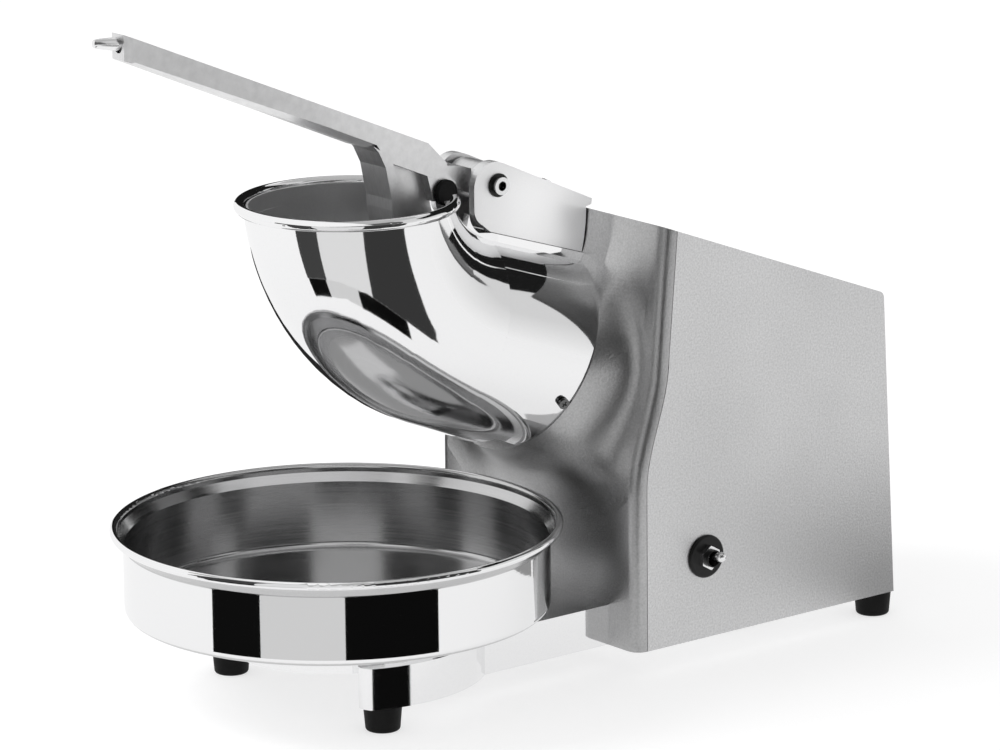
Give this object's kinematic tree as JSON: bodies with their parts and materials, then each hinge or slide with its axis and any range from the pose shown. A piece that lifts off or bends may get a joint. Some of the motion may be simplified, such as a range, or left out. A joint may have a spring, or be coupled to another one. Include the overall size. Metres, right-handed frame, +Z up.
{
  "type": "electric ice shaver",
  "caption": "Tabletop electric ice shaver with an open hopper elbow, a hinged press lever, an inclined blade disc, a toggle switch and a loose catch bowl.",
  "frame": {"origin": "middle of the footprint on the table", "axes": "+Z up, -Y towards the lever's handle and the bowl, +X towards the switch side"},
  "size_m": [0.215, 0.4286, 0.3337],
  "materials": {
    "polished_aluminium": "mirror polished casting",
    "satin_aluminium": "satin polished casting",
    "lever_aluminium": "tumbled casting",
    "stainless_sheet": "fine grained satin sheet",
    "bowl_steel": "polished sheet",
    "steel_hardware": "plated",
    "blade_steel": "ground",
    "motor_enamel": "enamel",
    "black_rubber": "moulded",
    "black_plastic": "moulded"
  },
  "bodies": {
    "frame": {"front_casting": "satin_aluminium", "rear_cover": "stainless_sheet", "bottom_plate": "steel_hardware", "base_casting": "polished_aluminium", "base_bolts": "steel_hardware", "foot_front_l": "black_rubber", "foot_front_r": "black_rubber", "foot_rear_l": "black_rubber", "foot_rear_r": "black_rubber", "foot_screws": "steel_hardware", "hopper_elbow": "polished_aluminium", "hopper_screws": "steel_hardware", "lever_bracket": "polished_aluminium", "bracket_screw": "steel_hardware", "hinge_bolt": "steel_hardware", "hinge_washer": "black_plastic", "hinge_nut": "steel_hardware", "hinge_spacers": "steel_hardware", "motor_flange": "satin_aluminium", "motor_can": "motor_enamel", "motor_screws": "steel_hardware", "front_bearing": "steel_hardware", "switch_body": "black_plastic", "switch_bezel": "black_plastic", "switch_nut": "steel_hardware", "cable_gland": "black_plastic", "gland_nut": "black_plastic", "cover_screws": "steel_hardware"},
    "lever": {"lever_arm": "lever_aluminium", "lever_tip": "steel_hardware", "pusher_plate": "polished_aluminium", "pusher_screws": "steel_hardware", "lever_bumpers": "black_rubber"},
    "rotor": {"rotor_shaft": "steel_hardware", "blade_disc": "blade_steel", "blade_1": "blade_steel", "blade_2": "blade_steel", "blade_screws": "steel_hardware", "disc_nut": "steel_hardware"},
    "toggle": {"switch_toggle": "steel_hardware"},
    "bowl": {"ice_bowl": "bowl_steel"}
  },
  "joints": [
    {"name": "lever_hinge", "type": "hinge", "parent": "frame", "child": "lever", "pos_m": [0, 0.00378, 0.2375], "axis": [1, 0, 0], "range_deg": [-80, 20]},
    {"name": "blade_spin", "type": "hinge", "parent": "frame", "child": "rotor", "pos_m": [0, 0.03088, 0.151], "axis": [0, 0.887, -0.4617], "continuous": true},
    {"name": "switch_throw", "type": "hinge", "parent": "frame", "child": "toggle", "pos_m": [0.0785, 0.08208, 0.053], "axis": [0, 1, 0], "range_deg": [0, 24]},
    {"name": "bowl_off", "type": "slide", "parent": "frame", "child": "bowl", "axis": [0, -1, 0], "range_m": [0, 0.15]}
  ]
}
